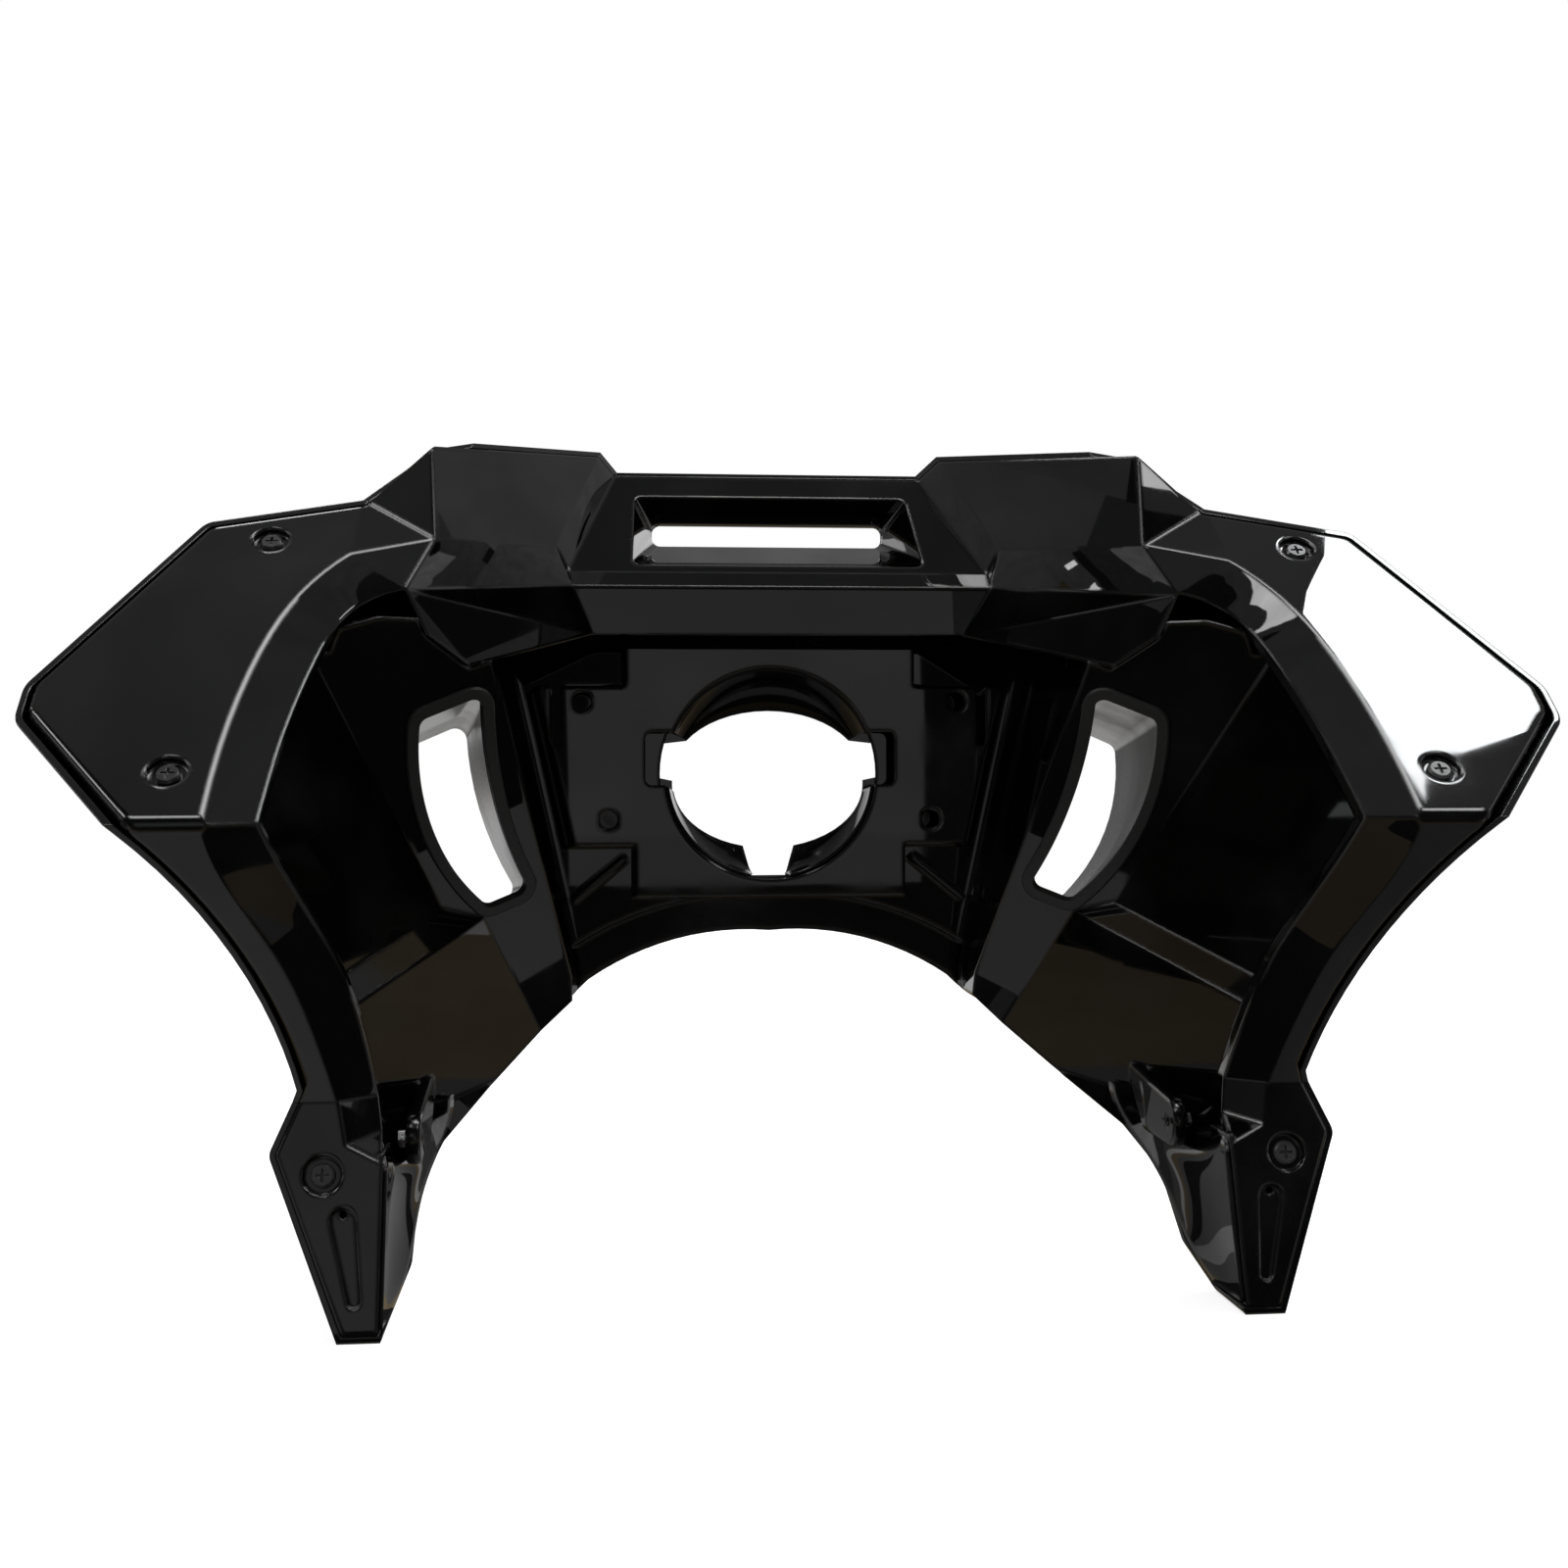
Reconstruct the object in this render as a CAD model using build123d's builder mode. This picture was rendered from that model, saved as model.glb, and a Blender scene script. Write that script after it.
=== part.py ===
from build123d import *
import os

os.makedirs("parts", exist_ok=True)

# Frame: millimetres, Z up, Y forward along the ride, X to the rider's right.
# The origin is the centre of the headlight opening on the plate's rear face.
# Sizes are for the right half; the left half is its mirror.

# Walls and fits
shell_wall = 3.5
pan_wall = 3.0
liner_wall = 3.0
fit_gap = 0.4

# Side profile of the rear edge: wing face, fold, strip, waist and leg face
wing_lean = 0.97
fold_depth = -350.0
fold_height = -27.0
waist_depth = -262.0
waist_height = -185.0
foot_depth = -300.0
foot_height = -311.0

# Outline seen from behind
crown_height = 218.0
crown_half = 109.0
pod_in_half = 121.0
pod_in_height = 229.0
pod_out_half = 226.0
pod_out_height = 208.0
pod_base_half = 267.0
pod_base_height = 169.0
wing_corner_half = 358.0
wing_corner_height = 152.0
tip_half = 435.0
tip_top_height = 48.0
tip_low_height = 28.0
wing_heel_half = 371.0
wing_heel_height = -31.0
strip_mid_half = 314.0
strip_mid_height = -107.0
waist_half = 292.0
waist_outline_height = -178.0
leg_corner_half = 307.0
leg_corner_height = -213.0
foot_half = 266.0
tip_round = 12.0
leg_round = 8.0

# Rolled rim of the liner, its return inside the skin, and the rounded folds
rim_round = 5.0
rim_low = -170.0
rim_inner_end = 264.0
rim_return = 12.0
rim_return_top = 155.0
fold_round = 10.0
waist_round = 9.0

# Front skin: corners of its flats, and the thickness of the edge behind them
rim_thick = 15.0
skin_face = 25.0
skin_round = 26.0
face_top = (118.0, skin_face, 229.0)
face_shoulder = (268.0, skin_face, 95.0)
face_wide = (280.0, skin_face, 24.0)
face_low = (236.0, skin_face, -108.0)
face_chin = (172.0, skin_face, -165.0)

# Nose pocket of the pan
nose_face = skin_face - pan_wall
nose_top = 104.0
nose_half_top = 196.0
nose_half_low = 142.0
nose_low = -141.0
nose_round = 8.0
pan_top = 93.0
pan_half = 340.0
pan_set = 26.0

# Flats of the pan, each given by a point and the way it faces
shelf_point = (217.0, -139.0, -5.0)
shelf_dir = (0.39, 0.81, 0.44)
cheek_point = (236.0, -141.0, -60.0)
cheek_dir = (0.83, 0.55, 0.06)
cheek_step = 12.5
bevel_point = (204.6, -87.0, -95.6)
bevel_dir = (0.553, 0.626, -0.546)
leg_front_point = (266.0, -293.0, -311.0)
leg_front_dir = (0.68, 0.41, -0.61)

# Dash corners of the liner: pods, centre panel, band and lower flange
sweep_depth = 4.2
band_drop = 20.0
return_depth = 12.0
crown = (crown_half, 21.0, crown_height)
pod_in = (pod_in_half, 1.0, pod_in_height)
pod_out = (pod_out_half, -152.0, pod_out_height)
pod_foot_out = (222.0, -176.0, 143.0)
pod_foot_in = (151.0, -75.0, 152.0)
panel_foot = (143.0, -72.0, 136.0)
band_turn = (140.0, -95.0, 124.0)
flange_turn = (126.0, -70.0, 94.0)
flange_end = (202.0, -178.0, 65.4)
flange_side = (226.0, -196.0, 83.3)
wing_top_half = 270.0
wing_top_height = 131.0
cavity_top_half = 238.0
cavity_top_height = 110.0
fold_crease_half = 327.0
fold_cavity_half = 301.0
waist_crease_half = 270.0
waist_cavity_half = 250.0

# Vent through the centre panel
dash_vent_half_top = 97.0
dash_vent_half_low = 100.0
dash_vent_top = 197.0
dash_vent_low = 141.0
dash_vent_round = 6.0
dash_slot_half = 84.0
dash_slot_height = 15.0
dash_slot_level = 173.0
dash_slot_round = 6.0

# Leg face, with the long keyhole
leg_inner_half = 244.0
leg_return = 36.0
key_half = 265.0
key_height = -248.0
key_radius = 7.0
key_end_half = 257.5
key_end_height = -290.0
key_end_radius = 3.5
key_depth = 2.2
key_pin_radius = 2.0

# Fork arch
arch_top = -114.0
arch_mid_half = 75.0
arch_mid_height = -121.5
arch_turn_half = 131.0
arch_turn_height = -148.0
arch_side_half = 222.0
arch_side_height = -234.0
arch_leg_half = 234.0
arch_leg_top = -256.0
arch_leg_low = -290.0
arch_foot_half = 243.0
arch_round = 8.0
arch_skin_spread = 7.0
arch_skin_rear = -60.0
lip_width = 26.0
lip_depth = 1.2

# Side vents: outline on the shelf, first number outward and second number down
side_vent_top_out = (27.0, -43.0)
side_vent_out_mid = (11.5, 22.0)
side_vent_low_out = (-42.0, 92.0)
side_vent_low_in = (-69.0, 80.0)
side_vent_in_mid = (-34.0, 17.0)
side_vent_top_in = (-11.0, -61.0)
side_vent_round = 7.0
duct_dir = (0.129, 1.0, -0.077)
duct_wall = 2.5
duct_step = 1.5
duct_behind = 80.0
trim_lip = 8.0
trim_thick = 3.2
trim_neck = 1.5
trim_clear = 0.15
trim_round = 1.2

# Headlight opening through pan and skin
eye_half = 70.0
eye_rise = 46.0
eye_drop = 8.0
eye_notch_half = 88.0
eye_notch_top = 27.0
eye_notch_low = -5.0
eye_tail_half = 12.5
eye_tail_low = -74.0

# Mounting plate
plate_wall = 3.0
plate_top = 100.0
plate_half = 104.0
pad_top = 63.0
pad_half_top = 166.0
pad_half_low = 141.0
pad_low = -51.0
plate_foot_half = 97.0
plate_foot = -88.0
plate_draft = 3.0
pad_draft = 9.0
pad_fall = 8.0
lamp_radius = 76.0
skirt_wall = 2.5
pan_hole_clear = 3.0
bracket_hole = 6.5
bracket_upper_half = 135.0
bracket_upper_height = 52.0
bracket_lower_half = 116.0
bracket_lower_height = -33.0
pad_slot_half = 153.5
pad_slot_width = 7.0
pad_slot_low = 20.0
pin_half = -33.0
pin_height = -60.0
pin_radius = 3.5
pin_rise = 4.5

# Gusset ribs beside the lamp
rib_thick = 4.0
rib_rear = 8.0
rib_start = (104.0, -60.0)
rib_end = (142.0, -91.0)

# Tongues low on the cheeks, each with a bolt hole across it
lug_half = 233.5
lug_thick = 9.0
lug_depth = -198.0
lug_height = -218.5
lug_radius = 15.5
lug_root_depth = -110.0
lug_root_top = -193.0
lug_round = 2.5
lug_hole_radius = 3.2

# Screws, inserts and nuts
wing_screw_places = ((318.0, 140.5), (349.0, 0.5))
leg_screw_place = (277.0, -224.0)
dish_radius = 11.0
dish_depth = 4.0
boss_radius = 14.0
boss_depth = 8.0
screw_head_radius = 7.0
screw_head_height = 3.2
screw_radius = 2.5
screw_length = 14.0
screw_clear = 0.5
screw_round = 1.4
thread_clear = 0.1
cross_width = 1.5
cross_length = 7.5
cross_depth = 1.8
post_radius = 7.5
post_clear = 1.0
insert_radius = 4.0
insert_length = 10.0
nut_flats = 10.0
nut_thick = 5.0
nut_bore = 2.5


def front_view(depth):
    return Plane.XZ.offset(-depth)


def rear_depth(height):
    if height > fold_height:
        return fold_depth + wing_lean * (height - fold_height)
    if height > waist_height:
        share = (fold_height - height) / (fold_height - waist_height)
        return fold_depth + share * (waist_depth - fold_depth)
    share = (waist_height - height) / (waist_height - foot_height)
    return waist_depth + share * (foot_depth - waist_depth)


def at_rear(half, height, drop=0.0):
    return (half, rear_depth(height) + drop, height)


def flat_through(first, second, third):
    along = Vector(*second) - Vector(*first)
    across = Vector(*third) - Vector(*first)
    facing = along.cross(across)
    if facing.Y < 0:
        facing = facing * -1
    return Plane(origin=first, z_dir=facing)


def ahead_of_rear(shift):
    top = 300.0
    low = -340.0
    with BuildPart() as form:
        with BuildSketch(Plane.YZ.offset(-460)):
            with BuildLine():
                Polyline(
                    (rear_depth(top) + shift, top),
                    (fold_depth + shift, fold_height),
                    (waist_depth + shift, waist_height),
                    (rear_depth(low) + shift, low),
                    (120, low),
                    (120, top),
                    close=True,
                )
            make_face()
        extrude(amount=920)
    return form.part


def outline_form(inset):
    with BuildPart() as form:
        with BuildSketch(front_view(120)):
            with BuildLine():
                upper_edge = FilletPolyline(
                    (pod_base_half, pod_base_height),
                    (wing_corner_half, wing_corner_height),
                    (tip_half, tip_top_height),
                    (tip_half, tip_low_height),
                    (wing_heel_half, wing_heel_height),
                    radius=tip_round,
                )
                Polyline(
                    (0, crown_height),
                    (crown_half, crown_height),
                    (pod_in_half, pod_in_height),
                    (pod_out_half, pod_out_height),
                    upper_edge @ 0,
                )
                strip_edge = ThreePointArc(
                    upper_edge @ 1,
                    (strip_mid_half, strip_mid_height),
                    (waist_half, waist_outline_height),
                )
                leg_edge = FilletPolyline(
                    strip_edge @ 1,
                    (leg_corner_half, leg_corner_height),
                    (foot_half, foot_height),
                    radius=leg_round,
                )
                Polyline(leg_edge @ 1, (0, foot_height), (0, crown_height))
            make_face()
            mirror(about=Plane.YZ)
            if inset > 0:
                offset(amount=-inset, kind=Kind.INTERSECTION, mode=Mode.REPLACE)
        extrude(amount=560)
    return form.part


def fold_edges(form, height):
    found = []
    for edge in form.edges():
        middle = edge.center()
        along_fold = edge.length > wing_heel_half and abs(middle.Z - height) < 1
        if along_fold and middle.Y < waist_depth + 1:
            found.append(edge)
    return found


def rim_edges(form, side):
    found = []
    for edge in form.edges():
        middle = edge.center()
        outward = side * middle.X > crown_half and rim_low < middle.Z < pod_base_height
        if outward and middle.Y - rear_depth(middle.Z) < rim_round:
            found.append(edge)
    return found


def rim_form(inset):
    with BuildPart() as form:
        add(outline_form(inset))
        add(ahead_of_rear(0), mode=Mode.INTERSECT)
        fillet(fold_edges(form, fold_height), fold_round)
        fillet(fold_edges(form, waist_height), waist_round)
        for side in (1, -1):
            fillet(rim_edges(form, side), rim_round)
        with BuildSketch(front_view(120)):
            with Locations((0, pod_base_height)):
                Rectangle(2 * tip_half, 100, align=(Align.CENTER, Align.MIN))
            with Locations((0, wing_top_height)):
                Rectangle(2 * rim_inner_end, 60, align=(Align.CENTER, Align.MIN))
        extrude(amount=560)
    return form.part


def rim_ring():
    with BuildPart() as form:
        add(ahead_of_rear(sweep_depth / 2))
        add(ahead_of_rear(rim_return), mode=Mode.SUBTRACT)
        split(bisect_by=Plane.XY.offset(rim_return_top), keep=Keep.BOTTOM)
        split(bisect_by=Plane.XY.offset(waist_height), keep=Keep.TOP)
        add(liner_room, mode=Mode.INTERSECT)
        add(skin_form(-fit_gap - liner_wall), mode=Mode.SUBTRACT)
    return form.part


rim_corner = at_rear(wing_corner_half, wing_corner_height, rim_thick)
rim_tip = at_rear(tip_half, (tip_top_height + tip_low_height) / 2, rim_thick)
rim_foot = at_rear(foot_half, foot_height, rim_thick)
skin_flats = (
    (face_top, face_shoulder, rim_corner),
    (face_wide, rim_tip, rim_corner),
    (face_wide, rim_tip, face_low),
    (face_chin, face_low, rim_foot),
)


def skin_form(grow):
    with BuildPart() as form:
        with BuildSketch(front_view(skin_face + grow)):
            with BuildLine():
                Polyline((0, 300), (520, 300), (520, -400), (0, -400), close=True)
            make_face()
        extrude(amount=520)
        for corners in skin_flats:
            split(bisect_by=flat_through(*corners).offset(grow), keep=Keep.BOTTOM)
        ridges = []
        for edge in form.edges():
            middle = edge.center()
            if 5 < middle.X < 515 and -380 < middle.Z < 280 and middle.Y > -480:
                ridges.append(edge)
        fillet(ridges, skin_round + grow)
        mirror(about=Plane.YZ)
        add(outline_form(shell_wall - grow), mode=Mode.INTERSECT)
    return form.part


def nose_form(grow):
    with BuildPart() as form:
        with BuildSketch(front_view(nose_face + grow)):
            with BuildLine():
                Polyline(
                    (-nose_half_top - grow, nose_top + 40),
                    (nose_half_top + grow, nose_top + 40),
                    (nose_half_top + grow, nose_top),
                    (nose_half_low + grow, nose_low),
                    (nose_half_low + grow, foot_height),
                    (-nose_half_low - grow, foot_height),
                    (-nose_half_low - grow, nose_low),
                    (-nose_half_top - grow, nose_top),
                    close=True,
                )
            make_face()
        extrude(amount=300)
        fillet(form.faces().sort_by(Axis.Y)[-1].edges(), nose_round + grow)
    return form.part


def side_form(grow):
    shelf = Plane(origin=shelf_point, z_dir=shelf_dir).offset(grow)
    cheek = Plane(origin=cheek_point, z_dir=cheek_dir).offset(grow)
    bevel = Plane(origin=bevel_point, z_dir=bevel_dir).offset(grow)
    leg_front = Plane(origin=leg_front_point, z_dir=leg_front_dir).offset(grow)
    with BuildPart() as low_side:
        with BuildSketch(front_view(nose_face)):
            with BuildLine():
                Polyline((0, 140), (460, 140), (460, -340), (0, -340), close=True)
            make_face()
        extrude(amount=480)
        split(bisect_by=cheek, keep=Keep.TOP)
        split(bisect_by=bevel, keep=Keep.TOP)
    with BuildPart() as form:
        with BuildSketch(front_view(nose_face)):
            with BuildLine():
                Polyline((0, 140), (460, 140), (460, -340), (0, -340), close=True)
            make_face()
        extrude(amount=480)
        split(bisect_by=shelf, keep=Keep.BOTTOM)
        split(bisect_by=cheek.offset(cheek_step), keep=Keep.BOTTOM)
        split(bisect_by=leg_front, keep=Keep.BOTTOM)
        add(low_side.part, mode=Mode.SUBTRACT)
        mirror(about=Plane.YZ)
    return form.part


def pocket_form(grow):
    with BuildPart() as form:
        add(nose_form(grow))
        add(side_form(grow))
    return form.part


def arch_form(front, length, spread=0.0):
    with BuildPart() as form:
        with BuildSketch(front_view(front)):
            with BuildLine():
                crown_arc = ThreePointArc(
                    (0, arch_top),
                    (arch_mid_half, arch_mid_height),
                    (arch_turn_half, arch_turn_height),
                )
                side_edge = FilletPolyline(
                    crown_arc @ 1,
                    (arch_side_half, arch_side_height),
                    (arch_leg_half, arch_leg_top),
                    (arch_leg_half, arch_leg_low),
                    (arch_foot_half, foot_height - 1),
                    radius=arch_round,
                )
                Polyline(
                    side_edge @ 1,
                    (arch_foot_half, foot_height - 60),
                    (0, foot_height - 60),
                    (0, arch_top),
                )
            make_face()
            mirror(about=Plane.YZ)
            if spread > 0:
                offset(amount=spread, kind=Kind.INTERSECTION, mode=Mode.REPLACE)
        extrude(amount=length)
    return form.part


def swept(corners, start, length):
    with BuildPart() as form:
        if len(corners) == 4:
            with BuildLine() as upper:
                Line(corners[0], corners[1])
            with BuildLine() as lower:
                Line(corners[3], corners[2])
            flat = Face.make_surface_from_curves(upper.edge(), lower.edge())
        else:
            with BuildLine() as edge:
                Polyline(*corners, close=True)
            flat = Face(edge.wire())
        flat = flat.moved(Location((0, start, 0)))
        extrude(flat, amount=length, dir=(0, 1, 0))
        mirror(about=Plane.YZ)
    return form.part


def swept_strip(outer, inner, start, length):
    with BuildPart() as form:
        with BuildLine() as outer_line:
            Spline(*outer)
        with BuildLine() as inner_line:
            Spline(*inner)
        flat = Face.make_surface_from_curves(outer_line.edge(), inner_line.edge())
        flat = flat.moved(Location((0, start, 0)))
        extrude(flat, amount=length, dir=(0, 1, 0))
        mirror(about=Plane.YZ)
    return form.part


wing_top = at_rear(wing_top_half, wing_top_height)
pod_base = at_rear(pod_base_half, pod_base_height)
cavity_top = at_rear(cavity_top_half, cavity_top_height, band_drop)
mid_crown = (0, crown[1], crown[2])
mid_panel = (0, panel_foot[1], panel_foot[2])
mid_band = (0, band_turn[1], band_turn[2])
mid_flange = (0, flange_turn[1], flange_turn[2])
crease_fold = at_rear(fold_crease_half, fold_height)
cavity_fold = at_rear(fold_cavity_half, fold_height, band_drop)
crease_waist = at_rear(waist_crease_half, waist_height)
cavity_waist = at_rear(waist_cavity_half, waist_height, band_drop)
band_stop = at_rear(265.0, -209.0)
edge_stop = at_rear(247.0, -205.0, band_drop)
step_foot = at_rear(leg_inner_half + 1, -219.0)

pod_facets = (
    (pod_out, pod_in, pod_foot_in, pod_foot_out),
    (pod_in, crown, panel_foot, pod_foot_in),
    (crown, mid_crown, mid_panel, panel_foot),
    (pod_out, pod_base, pod_foot_out),
)
band_facets = (
    (pod_base, pod_foot_out, wing_top),
    (wing_top, pod_foot_out, cavity_top),
    (pod_foot_out, pod_foot_in, band_turn, cavity_top),
    (pod_foot_in, panel_foot, band_turn),
    (panel_foot, mid_panel, mid_band, band_turn),
    (crease_waist, cavity_waist, edge_stop),
    (crease_waist, edge_stop, band_stop),
    (band_stop, edge_stop, step_foot),
)
flange_facets = (
    (band_turn, mid_band, mid_flange, flange_turn),
    (cavity_top, band_turn, flange_turn),
    (cavity_top, flange_turn, flange_end),
    (cavity_top, flange_end, flange_side),
)
liner_facets = pod_facets + band_facets + flange_facets
crease_wing = [
    wing_top,
    at_rear(299, 99),
    at_rear(316, 57),
    at_rear(325, 8),
    crease_fold,
]
cavity_wing = [
    cavity_top,
    at_rear(263, 99, band_drop),
    at_rear(285, 60, band_drop),
    at_rear(297, 8, band_drop),
    cavity_fold,
]
crease_strip = [
    crease_fold,
    at_rear(320, -54),
    at_rear(295, -99),
    at_rear(278, -149),
    crease_waist,
]
cavity_strip = [
    cavity_fold,
    at_rear(286, -62, band_drop),
    at_rear(267, -102, band_drop),
    at_rear(255, -148, band_drop),
    cavity_waist,
]


def return_line(inner, outer):
    points = []
    for near, far in zip(inner, outer):
        share = liner_wall / (Vector(*far) - Vector(*near)).length
        x = near[0] + share * (far[0] - near[0])
        z = near[2] + share * (far[2] - near[2])
        points.append((x, near[1], z))
    return points


def cockpit_form():
    with BuildPart() as form:
        with BuildSketch(front_view(120)):
            with BuildLine():
                Polyline(
                    (0, 150),
                    (140, 140),
                    (200, 131),
                    (254, 119),
                    (283, 82),
                    (302, 40),
                    (311, 5),
                    (312, fold_height),
                    (281, -100),
                    (266, -148),
                    (256, -206),
                    (leg_inner_half, -214),
                    (leg_inner_half, -360),
                    (0, -360),
                    close=True,
                )
            make_face()
            mirror(about=Plane.YZ)
        extrude(amount=600)
    return form.part


def dash_vent_form(grow):
    run = (crown[1] - panel_foot[1]) / (crown[2] - panel_foot[2])
    panel = Plane(origin=mid_panel, x_dir=(1, 0, 0), z_dir=(0, -1, run))
    slope = (1 + run * run) ** 0.5
    top = (dash_vent_top - panel_foot[2]) * slope + grow
    low = (dash_vent_low - panel_foot[2]) * slope - grow
    with BuildPart() as form:
        with BuildSketch(panel) as mouth:
            with BuildLine():
                Polyline(
                    (-dash_vent_half_low - grow, low),
                    (dash_vent_half_low + grow, low),
                    (dash_vent_half_top + grow, top),
                    (-dash_vent_half_top - grow, top),
                    close=True,
                )
            make_face()
            fillet(mouth.vertices(), dash_vent_round + grow)
        with BuildSketch(front_view(skin_face)):
            with Locations((0, dash_slot_level)):
                RectangleRounded(
                    2 * (dash_slot_half + grow),
                    dash_slot_height + 2 * grow,
                    dash_slot_round + grow,
                )
        loft(ruled=True)
    return form.part


def slot_cut():
    with BuildPart() as form:
        with BuildSketch(front_view(skin_face + 20)):
            with Locations((0, dash_slot_level)):
                RectangleRounded(2 * dash_slot_half, dash_slot_height, dash_slot_round)
        extrude(amount=30)
    return form.part


shelf_plane = Plane(
    origin=shelf_point,
    x_dir=(shelf_dir[1], -shelf_dir[0], 0),
    z_dir=shelf_dir,
)


def side_vent_face(depth, grow):
    with BuildSketch(shelf_plane.offset(depth)) as outline:
        with BuildLine():
            out_arc = ThreePointArc(side_vent_top_out, side_vent_out_mid, side_vent_low_out)
            in_arc = ThreePointArc(side_vent_low_in, side_vent_in_mid, side_vent_top_in)
            Line(out_arc @ 1, in_arc @ 0)
            Line(in_arc @ 1, out_arc @ 0)
        make_face()
        fillet(outline.vertices(), side_vent_round)
        if grow > 0:
            offset(amount=grow, mode=Mode.REPLACE)
    return outline.sketch


duct_plane = Plane(origin=shelf_point, x_dir=(1, -duct_dir[0], 0), z_dir=duct_dir)


def along_duct(spot):
    place = duct_plane.to_local_coords(shelf_plane.from_local_coords(Vector(*spot)))
    return (place.X, place.Y)


def duct_form(grow):
    with BuildPart() as form:
        with BuildSketch(duct_plane.offset(-duct_behind)) as outline:
            with BuildLine():
                out_arc = ThreePointArc(
                    along_duct(side_vent_top_out),
                    along_duct(side_vent_out_mid),
                    along_duct(side_vent_low_out),
                )
                in_arc = ThreePointArc(
                    along_duct(side_vent_low_in),
                    along_duct(side_vent_in_mid),
                    along_duct(side_vent_top_in),
                )
                Line(out_arc @ 1, in_arc @ 0)
                Line(in_arc @ 1, out_arc @ 0)
            make_face()
            fillet(outline.vertices(), side_vent_round)
            offset(amount=grow, mode=Mode.REPLACE)
        extrude(amount=2 * duct_behind + 140)
    return form.part


def both_sides(part):
    with BuildPart() as form:
        add(part)
        mirror(about=Plane.YZ)
    return form.part


def vent_hole():
    with BuildPart() as form:
        extrude(
            side_vent_face(-6, trim_neck + trim_clear),
            amount=6 + 2 * pan_wall,
            dir=shelf_dir,
        )
        mirror(about=Plane.YZ)
    return form.part


def eye_form():
    with BuildPart() as form:
        with BuildSketch(front_view(60)):
            Ellipse(eye_half, eye_rise)
            with Locations((0, -eye_drop)):
                Ellipse(eye_half, eye_rise)
            with Locations((0, -eye_drop / 2)):
                Rectangle(2 * eye_half, eye_drop)
            with BuildLine():
                Polyline(
                    (-eye_tail_half - 8, -eye_rise),
                    (-eye_tail_half, eye_tail_low),
                    (eye_tail_half, eye_tail_low),
                    (eye_tail_half + 8, -eye_rise),
                    close=True,
                )
            make_face()
            with BuildLine():
                FilletPolyline(
                    (0, eye_notch_top + 4),
                    (eye_notch_half, eye_notch_top - 6),
                    (eye_notch_half, eye_notch_low + 4),
                    (0, eye_notch_low - 14),
                    close=True,
                    radius=5,
                )
            make_face()
            mirror(about=Plane.YZ)
        extrude(amount=80)
    return form.part


def panel_plane(place):
    half, height = place
    origin = Vector(*at_rear(half, height))
    above = Vector(*at_rear(half, height + 1))
    upward = above - origin
    facing = Vector(1, 0, 0).cross(upward)
    return Plane(origin=origin, x_dir=(1, 0, 0), z_dir=facing)


def turned(place, radius, start, length):
    with BuildPart() as form:
        with BuildSketch(panel_plane(place).offset(-start)):
            Circle(radius)
        extrude(amount=-length)
        mirror(about=Plane.YZ)
    return form.part


def leg_wall():
    with BuildPart() as form:
        with BuildSketch(front_view(0)):
            with BuildLine():
                Polyline(
                    (leg_inner_half, -214),
                    (leg_inner_half + liner_wall, -214),
                    (leg_inner_half + liner_wall, foot_height),
                    (leg_inner_half, foot_height),
                    close=True,
                )
            make_face()
            mirror(about=Plane.YZ)
        extrude(amount=400)
        add(ahead_of_rear(1), mode=Mode.INTERSECT)
        add(ahead_of_rear(leg_return), mode=Mode.SUBTRACT)
    return form.part


def keyhole_cut():
    face = panel_plane((key_half, key_height))
    slope = ((waist_height - foot_height) ** 2 + (waist_depth - foot_depth) ** 2) ** 0.5
    fall = (key_end_height - key_height) * slope / (waist_height - foot_height)
    with BuildPart() as form:
        with BuildSketch(face.offset(4)):
            Circle(key_radius)
            with Locations((key_end_half - key_half, fall)):
                Circle(key_end_radius)
            make_hull()
        extrude(amount=-4 - key_depth)
        with BuildSketch(face.offset(4)):
            with Locations((0, key_radius / 2)):
                Circle(key_pin_radius)
        extrude(amount=-14)
        mirror(about=Plane.YZ)
    return form.part


def plate_section(depth, spread, inset):
    out = plate_draft * spread - inset
    side = pad_draft * spread - inset
    fall = pad_fall * spread
    with BuildSketch(front_view(depth)) as section:
        with BuildLine():
            Polyline(
                (0, plate_top + out),
                (plate_half + out, plate_top + out),
                (plate_half + out, pad_top + out),
                (pad_half_top + side, pad_top + out - fall),
                (pad_half_low + side, pad_low - out),
                (plate_foot_half + out, pad_low - out),
                (plate_foot_half + out, plate_foot - out),
                (0, plate_foot - out),
                close=True,
            )
        make_face()
        mirror(about=Plane.YZ)
    return section.sketch


def rib_form():
    with BuildPart() as form:
        with BuildSketch(front_view(nose_face + 1)):
            with BuildLine() as spine:
                Line(rib_start, rib_end)
            trace(spine.line, rib_thick)
        extrude(amount=nose_face + 1 - rib_rear)
        mirror(about=Plane.YZ)
    return form.part


def pin_form():
    with BuildPart() as form:
        with BuildSketch(front_view(skin_face + 1)):
            with Locations((pin_half, pin_height)):
                Circle(pin_radius)
        extrude(amount=pin_rise + 1)
    return form.part


def lug_form():
    with BuildPart() as form:
        with BuildSketch(Plane.YZ.offset(lug_half - lug_thick / 2)):
            with BuildLine():
                end = ThreePointArc(
                    (lug_depth, lug_height + lug_radius),
                    (lug_depth - lug_radius, lug_height),
                    (lug_depth, lug_height - lug_radius),
                )
                Polyline(
                    end @ 1,
                    (lug_root_depth, lug_height - lug_radius),
                    (lug_root_depth, lug_root_top),
                    end @ 0,
                )
            make_face()
        extrude(amount=lug_thick)
        fillet(form.faces().filter_by(Axis.X).edges(), lug_round)
        add(pocket_form(1), mode=Mode.INTERSECT)
        mirror(about=Plane.YZ)
    return form.part


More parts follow.
